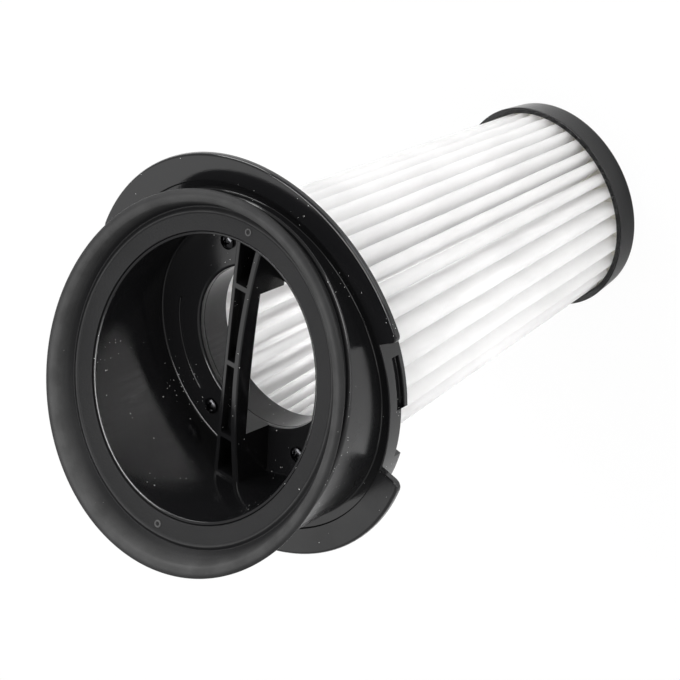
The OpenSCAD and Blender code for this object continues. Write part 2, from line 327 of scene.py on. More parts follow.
@dataclass
class Wires:
    """Adds nodes to a tree and wires them.

    Attributes:
        tree: The node tree.
    """

    tree: bpy.types.NodeTree

    def node(self, kind: str, **settings: object) -> bpy.types.Node:
        """Adds a node.

        Args:
            kind: The node's type.
            settings: Properties of the node and their values.

        Returns:
            The node.
        """
        node = self.tree.nodes.new(kind)
        for key, value in settings.items():
            setattr(node, key, value)
        return node

    def feed(self, socket: bpy.types.NodeSocket, value: object) -> None:
        """Links a socket to another one, or sets its value."""
        if isinstance(value, bpy.types.NodeSocket):
            self.tree.links.new(value, socket)
        else:
            socket.default_value = value

    def math(self, operation: str, *values: object) -> bpy.types.NodeSocket:
        """Adds a maths node and gives its result."""
        node = self.node("ShaderNodeMath", operation=operation)
        for socket, value in zip(node.inputs, values):
            self.feed(socket, value)
        return node.outputs[0]

    def mix(self, share: object, one: object, two: object) -> bpy.types.NodeSocket:
        """Mixes two numbers by a share from 0 to 1."""
        return self.math("ADD", self.math("MULTIPLY", self.math("SUBTRACT", two, one), share), one)

    def mix_colour(self, share: object, one: object, two: object) -> bpy.types.NodeSocket:
        """Mixes two colours by a share from 0 to 1."""
        node = self.node("ShaderNodeMix", data_type="RGBA")
        self.feed(node.inputs["Factor"], share)
        self.feed(node.inputs[6], one)
        self.feed(node.inputs[7], two)
        return node.outputs[2]

    def noise(self, where: object, scale: object, detail: float = 2.0) -> bpy.types.NodeSocket:
        """Adds a noise and gives its strength."""
        node = self.node("ShaderNodeTexNoise")
        self.feed(node.inputs["Vector"], where)
        self.feed(node.inputs["Scale"], scale)
        node.inputs["Detail"].default_value = detail
        return node.outputs["Fac"]

    def stretched(self, where: object, scale: Sequence[float]) -> bpy.types.NodeSocket:
        """Scales a vector by a factor along each axis."""
        node = self.node("ShaderNodeVectorMath", operation="MULTIPLY")
        self.feed(node.inputs[0], where)
        node.inputs[1].default_value = tuple(scale)
        return node.outputs[0]

    def remap(self, value: object, low: float, high: float) -> bpy.types.NodeSocket:
        """Maps the stretch from low to high onto 0 to 1, and clamps it."""
        node = self.node("ShaderNodeMapRange")
        self.feed(node.inputs["Value"], value)
        node.inputs["From Min"].default_value = low
        node.inputs["From Max"].default_value = high
        return node.outputs["Result"]


def make_group(
    name: str,
    inputs: Sequence[tuple[str, str, object]],
    outputs: Sequence[tuple[str, str]],
    kind: str = "ShaderNodeTree",
) -> tuple[bpy.types.NodeTree, Wires, bpy.types.Node, bpy.types.Node]:
    """Makes a node group with named sockets.

    Args:
        name: Name of the group.
        inputs: Name, socket type and value of each input.
        outputs: Name and socket type of each output.
        kind: Type of the tree.

    Returns:
        The group, its wires, and the nodes that hold its inputs and outputs.
    """
    tree = bpy.data.node_groups.new(name, kind)
    for label, socket_type, value in inputs:
        socket = tree.interface.new_socket(name=label, in_out="INPUT", socket_type=socket_type)
        if value is not None:
            socket.default_value = value
    for label, socket_type in outputs:
        tree.interface.new_socket(name=label, in_out="OUTPUT", socket_type=socket_type)
    wires = Wires(tree)
    return tree, wires, wires.node("NodeGroupInput"), wires.node("NodeGroupOutput")


FLOAT = "NodeSocketFloat"
INTEGER = "NodeSocketInt"
VECTOR = "NodeSocketVector"
GEOMETRY = "NodeSocketGeometry"
SUBSTANCE = "NodeSocketMaterial"
THING = "NodeSocketObject"


def specks_group() -> bpy.types.NodeTree:
    """Builds the effect of loose dust: small pale specks, here and there in clusters.

    Returns:
        The group, with the output Mask.
    """
    tree, wires, given, result = make_group(
        "Dust specks",
        [("Vector", VECTOR, None), ("Scale", FLOAT, 900.0), ("Size", FLOAT, 0.12), ("Share", FLOAT, 0.2)],
        [("Mask", FLOAT)],
    )
    cells = wires.node("ShaderNodeTexVoronoi")
    wires.feed(cells.inputs["Vector"], given.outputs["Vector"])
    wires.feed(cells.inputs["Scale"], given.outputs["Scale"])
    parts = wires.node("ShaderNodeSeparateColor")
    wires.feed(parts.inputs[0], cells.outputs["Color"])
    cluster = wires.remap(wires.noise(given.outputs["Vector"], 60.0, 3.0), 0.45, 0.65)
    share = wires.math("MULTIPLY", given.outputs["Share"], wires.math("MULTIPLY", cluster, cluster))
    chosen = wires.math("LESS_THAN", parts.outputs[0], share)
    size = wires.math("MULTIPLY", given.outputs["Size"], wires.mix(parts.outputs[1], 0.4, 1.0))
    spot = wires.math("LESS_THAN", cells.outputs["Distance"], size)
    wires.feed(result.inputs["Mask"], wires.math("MULTIPLY", spot, chosen))
    return tree


def smudge_group() -> bpy.types.NodeTree:
    """Builds the effect of uneven gloss and of the fine waviness of a moulded surface.

    Returns:
        The group, with the outputs Roughness and Height.
    """
    tree, wires, given, result = make_group(
        "Moulded gloss",
        [
            ("Vector", VECTOR, None),
            ("Cloud scale", FLOAT, 60.0),
            ("Grain scale", FLOAT, 2500.0),
            ("Low", FLOAT, 0.2),
            ("High", FLOAT, 0.3),
        ],
        [("Roughness", FLOAT), ("Height", FLOAT)],
    )
    cloud = wires.noise(given.outputs["Vector"], given.outputs["Cloud scale"], 3.0)
    share = wires.remap(cloud, 0.35, 0.7)
    grain = wires.noise(given.outputs["Vector"], given.outputs["Grain scale"])
    wires.feed(result.inputs["Roughness"], wires.mix(share, given.outputs["Low"], given.outputs["High"]))
    wires.feed(result.inputs["Height"], grain)
    return tree


def fleece_group() -> bpy.types.NodeTree:
    """Builds the effect of pressed fibres: short strands in all directions and soft clouds of tone.

    Returns:
        The group, with the outputs Tone and Height.
    """
    tree, wires, given, result = make_group(
        "Pressed fleece",
        [("Vector", VECTOR, None), ("Strand scale", FLOAT, 1400.0), ("Cloud scale", FLOAT, 90.0)],
        [("Tone", FLOAT), ("Height", FLOAT)],
    )
    along = wires.noise(
        wires.stretched(given.outputs["Vector"], (1.0, 1.0, 0.25)), given.outputs["Strand scale"], 4.0
    )
    across = wires.noise(
        wires.stretched(given.outputs["Vector"], (0.35, 0.35, 1.0)), given.outputs["Strand scale"], 4.0
    )
    cloud = wires.noise(given.outputs["Vector"], given.outputs["Cloud scale"], 4.0)
    wires.feed(result.inputs["Height"], wires.mix(0.5, along, across))
    wires.feed(result.inputs["Tone"], cloud)
    return tree


@dataclass
class Effects:
    """The shader groups that the materials share, built once."""

    specks: bpy.types.NodeTree = field(default_factory=specks_group)
    gloss: bpy.types.NodeTree = field(default_factory=smudge_group)
    fleece: bpy.types.NodeTree = field(default_factory=fleece_group)


# Finishes


@dataclass(frozen=True)
class Finish:
    """What every finish has.

    Attributes:
        name: Name of the material.
        colour: Base colour.
        low: Roughness of the cleanest spots.
        high: Roughness of the dullest spots.
    """

    name: str
    colour: Colour
    low: float
    high: float

    def start(self) -> tuple[bpy.types.Material, Wires, bpy.types.Node, bpy.types.NodeSocket]:
        """Makes an empty material.

        Returns:
            The material, its wires, its shader and the object coordinates.
        """
        material = bpy.data.materials.new(self.name)
        material.use_nodes = True
        material.diffuse_color = (*self.colour, 1.0)
        wires = Wires(material.node_tree)
        shader = material.node_tree.nodes["Principled BSDF"]
        shader.inputs["Base Color"].default_value = (*self.colour, 1.0)
        where = wires.node("ShaderNodeTexCoord").outputs["Object"]
        return material, wires, shader, where

    def group(
        self, wires: Wires, tree: bpy.types.NodeTree, where: bpy.types.NodeSocket, **values: float
    ) -> bpy.types.Node:
        """Places an effect in a material.

        Args:
            wires: Wires of the material.
            tree: The effect.
            where: Coordinates for it.
            values: Its inputs, with underscores for spaces.

        Returns:
            The group node.
        """
        node = wires.node("ShaderNodeGroup", node_tree=tree)
        wires.feed(node.inputs["Vector"], where)
        for label, value in values.items():
            node.inputs[label.replace("_", " ")].default_value = value
        return node

    def bump(
        self, wires: Wires, shader: bpy.types.Node, height: bpy.types.NodeSocket, depth: float
    ) -> None:
        """Roughens the surface.

        Args:
            wires: Wires of the material.
            shader: Its shader.
            height: Pattern from 0 to 1.
            depth: Depth of the pattern in millimetres.
        """
        node = wires.node("ShaderNodeBump")
        node.inputs["Distance"].default_value = depth * MM
        wires.feed(node.inputs["Height"], height)
        wires.feed(shader.inputs["Normal"], node.outputs["Normal"])


@dataclass(frozen=True)
class MouldedFinish(Finish):
    """Black plastic or rubber out of a mould, with some dust on it.

    Attributes:
        dust: Colour of the specks.
        dust_share: Share of the cells of the dust pattern that hold a speck.
        dust_scale: Cells per metre.
        grain_depth: Depth of the surface's grain in millimetres.
        grain_scale: Scale of the grain.
        specular: Strength of the reflection at right angles.
        matt_from: Distance from the axis in millimetres beyond which the surface is duller.
        matt: Roughness that is added there.
    """

    dust: Colour = (0.35, 0.35, 0.34)
    dust_share: float = 0.05
    dust_scale: float = 420.0
    grain_depth: float = 0.01
    grain_scale: float = 2500.0
    specular: float = 0.5
    matt_from: float = 1000.0
    matt: float = 0.14

    def material(self, effects: Effects) -> bpy.types.Material:
        """Builds the material.

        Args:
            effects: The shared effects.

        Returns:
            The material.
        """
        material, wires, shader, where = self.start()
        shader.inputs["Specular IOR Level"].default_value = self.specular
        gloss = self.group(
            wires, effects.gloss, where, Grain_scale=self.grain_scale, Low=self.low, High=self.high
        )
        specks = self.group(
            wires, effects.specks, where, Scale=self.dust_scale, Size=0.14, Share=self.dust_share
        )
        mask = specks.outputs["Mask"]
        colour = wires.mix_colour(mask, (*self.colour, 1.0), (*self.dust, 1.0))
        wires.feed(shader.inputs["Base Color"], colour)
        spot = wires.node("ShaderNodeSeparateXYZ")
        wires.feed(spot.inputs[0], where)
        reach = wires.node("ShaderNodeVectorMath", operation="LENGTH")
        wires.feed(reach.inputs[0], wires.stretched(where, (1.0, 1.0, 0.0)))
        outside = wires.math("GREATER_THAN", reach.outputs["Value"], self.matt_from * MM)
        above = wires.remap(spot.outputs["Z"], (Layout().face - 0.3) * MM, (Layout().face + 0.3) * MM)
        behind = wires.remap(spot.outputs["Y"], -34.0 * MM, -18.0 * MM)
        dull = wires.math("MULTIPLY", wires.math("MULTIPLY", outside, above), behind)
        rough = wires.math("MULTIPLY_ADD", dull, self.matt, gloss.outputs["Roughness"])
        wires.feed(shader.inputs["Roughness"], wires.mix(mask, rough, 0.8))
        self.bump(wires, shader, gloss.outputs["Height"], self.grain_depth)
        return material


@dataclass(frozen=True)
class SealFinish(MouldedFinish):
    """Soft rubber whose raised lip is duller and paler than its flat band, with painted shade towards the lip's outer
    edge and a painted highlight along the crest of the fine rib.

    Attributes:
        lip: Colour of the lip.
        lip_shade: Colour of its darker patches.
        lip_from: Height over the band in millimetres where the lip's colour begins.
        lip_to: Height where the lip has its full colour.
        edge_shade_from: Distance from the axis in millimetres where painted shade begins to darken the lip towards
            its edge.
        edge_shade_to: Distance of that edge from the axis.
        edge_shade_share: Share of its colour that the lip loses there to the painted shade.
        rib_r: Distance of the fine rib from the axis.
        rib_highlight_half: Half of the width over which the rib's crest gets a painted highlight.
        rib_highlight_share: Share of the lip's colour that the painted highlight on the crest has.
    """

    lip: Colour = (0.054, 0.054, 0.054)
    lip_shade: Colour = (0.038, 0.038, 0.038)
    lip_from: float = 0.6
    lip_to: float = 4.2
    edge_shade_from: float = 44.8
    edge_shade_to: float = 48.5
    edge_shade_share: float = 0.95
    rib_r: float = 41.4
    rib_highlight_half: float = 0.45
    rib_highlight_share: float = 0.45

    def material(self, effects: Effects) -> bpy.types.Material:
        """Builds the material.

        Args:
            effects: The shared effects.

        Returns:
            The material.
        """
        material = super().material(effects)
        wires = Wires(material.node_tree)
        shader = material.node_tree.nodes["Principled BSDF"]
        where = wires.node("ShaderNodeTexCoord").outputs["Object"]
        layout = Layout()
        band = (layout.face + layout.mouth_height) * MM
        height = wires.node("ShaderNodeVectorMath", operation="DOT_PRODUCT")
        wires.feed(height.inputs[0], where)
        height.inputs[1].default_value = (0.0, -math.tan(math.radians(layout.mouth_tilt)), 1.0)
        share = wires.remap(height.outputs["Value"], band + self.lip_from * MM, band + self.lip_to * MM)
        reach = wires.node("ShaderNodeVectorMath", operation="LENGTH")
        wires.feed(reach.inputs[0], wires.stretched(where, (1.0, 1.0, 0.0)))
        # Painted shade: the lip's pale colour fades out towards its outer edge.
        edge = wires.remap(reach.outputs["Value"], self.edge_shade_from * MM, self.edge_shade_to * MM)
        share = wires.math("MULTIPLY", share, wires.math("MULTIPLY_ADD", edge, -self.edge_shade_share, 1.0))
        # Painted highlight: the fine rib's crest takes part of the lip's pale colour.
        off_rib = wires.math("ABSOLUTE", wires.math("SUBTRACT", reach.outputs["Value"], self.rib_r * MM))
        crest = wires.math("SUBTRACT", 1.0, wires.remap(off_rib, 0.0, self.rib_highlight_half * MM))
        share = wires.math("MAXIMUM", share, wires.math("MULTIPLY", crest, self.rib_highlight_share))
        patches = wires.remap(wires.noise(where, 170.0, 5.0), 0.38, 0.62)
        pale = wires.mix_colour(patches, (*self.lip_shade, 1.0), (*self.lip, 1.0))
        base = shader.inputs["Base Color"].links[0].from_socket
        wires.feed(shader.inputs["Base Color"], wires.mix_colour(share, base, pale))
        return material


@dataclass(frozen=True)
class FleeceFinish(Finish):
    """White pressed fleece.

    Attributes:
        shade: Colour of the thinner spots.
        fibre_depth: Depth of the fibres in millimetres.
        glow: Share of the light that passes through.
    """

    shade: Colour = (0.92, 0.918, 0.918)
    fibre_depth: float = 0.05
    glow: float = 0.9

    def material(self, effects: Effects) -> bpy.types.Material:
        """Builds the material.

        Args:
            effects: The shared effects.

        Returns:
            The material.
        """
        material, wires, shader, where = self.start()
        shader.inputs["Specular IOR Level"].default_value = 0.25
        shader.inputs["Sheen Weight"].default_value = 0.15
        shader.inputs["Sheen Roughness"].default_value = 0.5
        fleece = self.group(wires, effects.fleece, where)
        tone = wires.remap(fleece.outputs["Tone"], 0.3, 0.7)
        colour = wires.mix_colour(tone, (*self.shade, 1.0), (*self.colour, 1.0))
        wires.feed(shader.inputs["Base Color"], colour)
        wires.feed(shader.inputs["Roughness"], wires.mix(tone, self.high, self.low))
        self.bump(wires, shader, fleece.outputs["Height"], self.fibre_depth)
        through = wires.node("ShaderNodeBsdfTranslucent")
        wires.feed(through.inputs["Color"], colour)
        both = wires.node("ShaderNodeMixShader")
        both.inputs[0].default_value = self.glow
        wires.feed(both.inputs[1], shader.outputs[0])
        wires.feed(both.inputs[2], through.outputs[0])
        wires.feed(material.node_tree.nodes["Material Output"].inputs["Surface"], both.outputs[0])
        return material


@dataclass(frozen=True)
class ResinFinish(Finish):
    """Poured resin with small bubbles."""

    def material(self, effects: Effects) -> bpy.types.Material:
        """Builds the material."""
        material, wires, shader, where = self.start()
        gloss = self.group(wires, effects.gloss, where, Cloud_scale=120.0, Low=self.low, High=self.high)
        bubbles = self.group(wires, effects.specks, where, Scale=700.0, Size=0.3, Share=0.2)
        darker = tuple(0.8 * part for part in self.colour)
        colour = wires.mix_colour(bubbles.outputs["Mask"], (*self.colour, 1.0), (*darker, 1.0))
        wires.feed(shader.inputs["Base Color"], colour)
        wires.feed(shader.inputs["Roughness"], gloss.outputs["Roughness"])
        self.bump(wires, shader, gloss.outputs["Height"], 0.02)
        return material


@dataclass(frozen=True)
class SteelFinish(Finish):
    """Dark plated steel with turning marks."""

    def material(self, effects: Effects) -> bpy.types.Material:
        """Builds the material."""
        material, wires, shader, where = self.start()
        shader.inputs["Metallic"].default_value = 1.0
        gloss = self.group(wires, effects.gloss, where, Cloud_scale=900.0, Low=self.low, High=self.high)
        wires.feed(shader.inputs["Roughness"], gloss.outputs["Roughness"])
        self.bump(wires, shader, gloss.outputs["Height"], 0.01)
        return material


GLOSSY_BLACK = MouldedFinish(
    "Glossy black plastic",
    (0.006, 0.006, 0.0065),
    0.08,
    0.18,
    dust=(0.7, 0.7, 0.69),
    dust_share=0.6,
    dust_scale=1100.0,
    specular=0.45,
    matt_from=42.5,
)
SATIN_BLACK = MouldedFinish(
    "Satin black plastic",
    (0.006, 0.006, 0.0065),
    0.12,
    0.24,
    dust_share=0.2,
    dust_scale=900.0,
    grain_depth=0.02,
    specular=0.4,
)
SOFT_RUBBER = SealFinish(
    "Soft black rubber",
    (0.004, 0.004, 0.0045),
    0.5,
    0.6,
    dust=(0.4, 0.4, 0.39),
    dust_share=0.1,
    dust_scale=700.0,
    grain_depth=0.05,
    grain_scale=1800.0,
    specular=0.25,
)
WORN_RUBBER = MouldedFinish("Worn black rubber", (0.06, 0.06, 0.06), 0.5, 0.6, specular=0.35)
WHITE_FLEECE = FleeceFinish("White fleece", (0.96, 0.958, 0.958), 0.85, 0.95)
PALE_RESIN = ResinFinish("Pale resin", (0.78, 0.76, 0.69), 0.3, 0.45)
DARK_STEEL = SteelFinish("Dark steel screws", (0.035, 0.035, 0.037), 0.15, 0.3)


# The filter


@dataclass(frozen=True)
class Layout:
    """Sizes that several pieces share.

    Attributes:
        face: Height of the flange's front face.
        mouth_height: Height of the mouth above it, on the axis.
        mouth_tilt: Angle between the mouth and the flange.
        bowl_r: Inner radius of the bowl.
        bowl_lip_r: Outer radius of the bowl's thin lip.
        bowl_depth: Depth of the bowl's floor below the face.
        floor_t: Thickness of that floor.
        throat_r: Inner radius of the throat.
        neck_r: Radius of the neck at the flange.
        seal_t: Thickness of the seal's band.
    """

    face: float = 124.0
    mouth_height: float = 17.4
    mouth_tilt: float = 17.4
    bowl_r: float = 35.5
    bowl_lip_r: float = 36.3
    bowl_depth: float = 5.7
    floor_t: float = 2.0
    throat_r: float = 22.4
    neck_r: float = 45.1
    seal_t: float = 1.8

    @property
    def floor(self) -> float:
        """Height of the bowl's floor."""
        return self.face - self.bowl_depth

    @property
    def plate(self) -> float:
        """Height of the floor's underside, on which the ring sits."""
        return self.floor - self.floor_t

    def mouth(self, r: float, angle: float) -> float:
        """Gives the height of the mouth's flat band at a radius and an angle from the front."""
        y = -r * math.cos(math.radians(angle))
        return self.face + self.mouth_height + y * math.tan(math.radians(self.mouth_tilt))


@dataclass(frozen=True)
class Stretch:
    """Stretch of the flange and collar between two angles, over half a turn.

    Attributes:
        start: First angle.
        end: Last angle.
        notched: True where the flange is cut away down to the collar.
        low: Height of the collar's edge.
        slotted: True where the collar's wall holds the bayonet slot.
    """

    start: float
    end: float
    notched: bool
    low: float
    slotted: bool = False


@dataclass
class HeadMoulding:
    """The head: flange, bayonet collar, oblique neck, bowl, throat, handle and floor ridges."""

    layout: Layout
    flange_r: float = 54.99
    flange_t: float = 1.7
    flange_round: float = 0.85
    groove_w: float = 2.6
    groove_depth: float = 0.6
    wall: float = 2.0
    collar_r: float = 48.4
    collar_wall: float = 2.2
    collar_depth: float = 6.9
    entry_depth: float = 4.3
    slot_top: float = 2.9
    slot_h: float = 2.6
    slot_depth: float = 1.4
    cut_start: float = 60.5
    cut_end: float = 104.0
    cut_round: float = 2.0
    slot_start: float = 66.0
    rail_end: float = 83.0
    entry_end: float = 100.6
    lip_drop: float = 0.3
    lip_slope: float = 0.2
    neck_draft: float = 1.3
    edge_soft: float = 0.4
    angle_step: float = 1.25

    def stretches(self) -> list[Stretch]:
        """Divides half a turn of the flange and collar.

        Returns:
            The stretches in order, from the front to the back.
        """
        face = self.layout.face
        full = face - self.collar_depth
        entry = face - self.entry_depth
        return [
            Stretch(0.0, self.cut_start, False, full),
            Stretch(self.cut_start, self.slot_start, True, full),
            Stretch(self.slot_start, self.rail_end, True, full, slotted=True),
            Stretch(self.rail_end, self.entry_end, True, entry),
            Stretch(self.entry_end, self.cut_end, True, full),
            Stretch(self.cut_end, 180.0, False, full),
        ]

    def angles(self, stretch: Stretch) -> list[float]:
        """Gives the angles of the columns of a stretch, closer together beside a cut."""
        angles = set(frange(stretch.start, stretch.end, self.angle_step))
        if not stretch.notched:
            near = (0.1, 0.25, 0.4, 0.8, 1.3, self.cut_round)
            offsets = [math.degrees(gap / self.flange_r) for gap in near]
            if stretch.end == self.cut_start:
                angles.update(stretch.end - offset for offset in offsets)
            else:
                angles.update(stretch.start + offset for offset in offsets)
        return sorted(angles)

    def gap_to_cut(self, angle: float) -> float:
        """Gives the distance along the rim from an angle of half a turn to the nearer end of the cut."""
        nearest = min(abs(angle - self.cut_start), abs(angle - self.cut_end))
        return math.radians(nearest) * self.flange_r

    def rim(self, stretch: Stretch, angle: float) -> tuple[float, float]:
        """Gives the flange's outer radius and how far its edge dips beside a cut."""
        if stretch.notched:
            return self.collar_r, 0.0
        gap = self.gap_to_cut(angle)
        radius = self.flange_r
        if gap < self.cut_round:
            rest = self.cut_round - gap
            radius -= self.cut_round - math.sqrt(self.cut_round**2 - rest**2)
        dip = 0.0
        if gap < self.edge_soft:
            rest = self.edge_soft - gap
            dip = self.edge_soft - math.sqrt(self.edge_soft**2 - rest**2)
        return radius, dip

    def section(self, stretch: Stretch, angle: float, turn: float) -> list[Point]:
        """Gives the head's section at one angle.

        Args:
            stretch: Stretch of the flange that the angle lies in.
            angle: Angle of half a turn.
            turn: Turn of the half, which only the oblique mouth depends on.

        Returns:
            The points of the section.
        """
        at = self.layout
        low = stretch.low
        slot_high = at.face - self.slot_top
        slot_low = max(slot_high - self.slot_h, low)
        slot_r = self.collar_r - self.slot_depth if stretch.slotted else self.collar_r
        radius, dip = self.rim(stretch, angle)
        around = angle + turn
        rise = at.mouth(at.neck_r, around) - at.face
        neck_top = at.neck_r + rise * math.tan(math.radians(self.neck_draft))
        land = at.neck_r + self.groove_w
        groove = at.face - self.groove_depth
        under = at.face - self.flange_t
        bore = self.collar_r - self.collar_wall
        inner_neck = at.neck_r - self.wall
        outer_bowl = at.bowl_r + self.wall
        roof = -at.seal_t - self.wall
        corners = [
            Corner(at.throat_r, at.plate, 0.2),
            Corner(at.throat_r, at.floor, 1.3),
            Corner(at.bowl_r, at.floor, 0.5),
            Corner(at.bowl_r, at.mouth(at.bowl_r, around) - self.lip_drop - self.lip_slope, 0.3),
            Corner(at.bowl_lip_r, at.mouth(at.bowl_lip_r, around) - self.lip_drop, 0.2),
            Corner(at.bowl_lip_r, at.mouth(at.bowl_lip_r, around) - at.seal_t),
            Corner(neck_top, at.mouth(neck_top, around) - at.seal_t, 1.3),
            Corner(at.neck_r, groove, 0.35),
            Corner(land, groove, 0.2),
            Corner(land, at.face, 0.22),
            Corner(radius, at.face - dip, self.flange_round),
            Corner(radius, under, 0.3),
            Corner(self.collar_r, under, 0.25),
            Corner(self.collar_r, slot_high, 0.25),
            Corner(slot_r, slot_high, 0.25),
            Corner(slot_r, slot_low, 0.25),
            Corner(self.collar_r, slot_low, 0.3),
            Corner(self.collar_r, low, 0.3),
            Corner(bore, low, 0.35),
            Corner(bore, under, 0.3),
            Corner(inner_neck, under, 0.3),
            Corner(inner_neck, at.mouth(inner_neck, around) + roof, 0.5),
            Corner(outer_bowl, at.mouth(outer_bowl, around) + roof, 0.5),
            Corner(outer_bowl, at.plate, 0.3),
        ]
        return rounded(corners)

    def shell(self) -> bpy.types.Object:
        """Builds the shell of the head, all but the handle and the ridges."""
        columns = [
            (angle + side.value, self.section(stretch, angle, side.value))
            for side in Side
            for stretch in self.stretches()
            for angle in self.angles(stretch)
        ]
        return smoothed(add_object("head_shell", swept("head_shell", columns, closed=True)))

    def ridge(self, start: float, end: float, name: str) -> bpy.types.Object:
        """Builds a curved ridge on the bowl's floor between two angles."""
        mid = 29.3
        half = 0.35
        top = self.layout.floor + half
        buried = self.layout.floor - half
        corners = [
            Corner(mid - half, buried),
            Corner(mid - half, top, 0.34),
            Corner(mid + half, top, 0.34),
            Corner(mid + half, buried),
        ]
        columns = [(angle, rounded(corners)) for angle in frange(start, end, self.angle_step)]
        return smoothed(add_object(name, swept(name, columns, closed=False)))

    def build(self, material: bpy.types.Material) -> list[bpy.types.Object]:
        """Builds and dresses the moulding.

        Args:
            material: The plastic.

        Returns:
            Its pieces.
        """
        pieces = [deliver(self.shell(), Slot.HEAD, material, "head")]
        ridge_start, ridge_end = 87.0, 138.0
        near = self.ridge(ridge_start, ridge_end, "floor_ridge_near")
        far = self.ridge(-ridge_end, -ridge_start, "floor_ridge_far")
        pieces += [deliver(piece, Slot.HEAD, material) for piece in (near, far)]
        pieces.append(deliver(Handle(self.layout).build(), Slot.HEAD, material))
        return pieces


@dataclass
class Handle:
    """Ladder-shaped handle across the throat, on two legs that stand on the bowl's floor."""

    layout: Layout
    width: float = 5.4
    end_width: float = 8.0
    crown: float = 6.5
    end_height: float = 4.2
    under: float = 2.0
    draft: float = 6.5
    leg_reach: float = 21.3
    rail: float = 1.3
    wide_rail: float = 1.8
    pocket_floor: float = 0.9
    rib_pitch: float = 22.6
    rib: float = 1.4
    step: float = 1.2

    @staticmethod
    def sagitta(rise: float, half: float, distance: float) -> float:
        """Gives how far an arc has fallen at a distance from its top.

        Args:
            rise: Height of the whole arc.
            half: Half of its chord.
            distance: Distance from the middle.

        Returns:
            The fall from the top.
        """
        radius = (half**2 + rise**2) / (2 * rise)
        return radius - math.sqrt(radius**2 - distance**2)

    def loop(self, y: float, leg: bool, pocket: float | None) -> list[Vector]:
        """Gives the handle's section at one place along it.

        Args:
            y: Distance from the axis along the handle.
            leg: True where the handle reaches down to the floor.
            pocket: Height of the pocket's floor, or None at a rib or an end.

        Returns:
            The points of the section in metres.
        """
        at = self.layout
        spread = self.sagitta((self.end_width - self.width) / 2, at.bowl_r, y)
        half = self.width / 2 + spread
        top = at.face + self.crown - self.sagitta(self.crown - self.end_height, at.bowl_r, y)
        sunk = 0.3
        low = at.floor - sunk if leg else at.face + self.under
        deep = top if pocket is None else pocket

        def side(z: float) -> float:
            return half + (at.face + self.crown - z) * math.tan(math.radians(self.draft))

        corners = [
            Corner(-side(low), low, 0.3),
            Corner(-side(top), top, 0.55),
            Corner(self.wide_rail - side(top), top, 0.15),
            Corner(self.wide_rail - side(deep), deep),
            Corner(side(deep) - self.rail, deep),
            Corner(side(top) - self.rail, top, 0.15),
            Corner(side(top), top, 0.5),
            Corner(side(low), low, 0.3),
        ]
        return [Vector((x, y, z)) * MM for x, z in rounded(corners)]

    def build(self) -> bpy.types.Object:
        """Builds the handle.

        Returns:
            The handle.
        """
        at = self.layout
        end = (at.bowl_r + at.bowl_lip_r) / 2
        half_rib = self.rib / 2
        last = at.bowl_r - 1.0
        span_pocket = at.face + self.under + self.pocket_floor
        leg_pocket = at.floor + self.pocket_floor
        stretches = [
            (0.0, half_rib, False, None),
            (half_rib, self.leg_reach, False, span_pocket),
            (self.leg_reach, self.rib_pitch - half_rib, True, span_pocket),
            (self.rib_pitch - half_rib, self.rib_pitch + half_rib, True, None),
            (self.rib_pitch + half_rib, last, True, leg_pocket),
            (last, end, True, None),
        ]
        half_rows = []
        for start, stop, leg, pocket in stretches:
            for y in frange(start, stop, self.step):
                half_rows.append((y, leg, pocket))
        rows = [(-y, leg, pocket) for y, leg, pocket in reversed(half_rows)] + half_rows
        mesh = _skin("handle", [self.loop(*row) for row in rows], closed=False)
        return smoothed(bevelled(add_object("handle", mesh), 0.16, 50, 2))


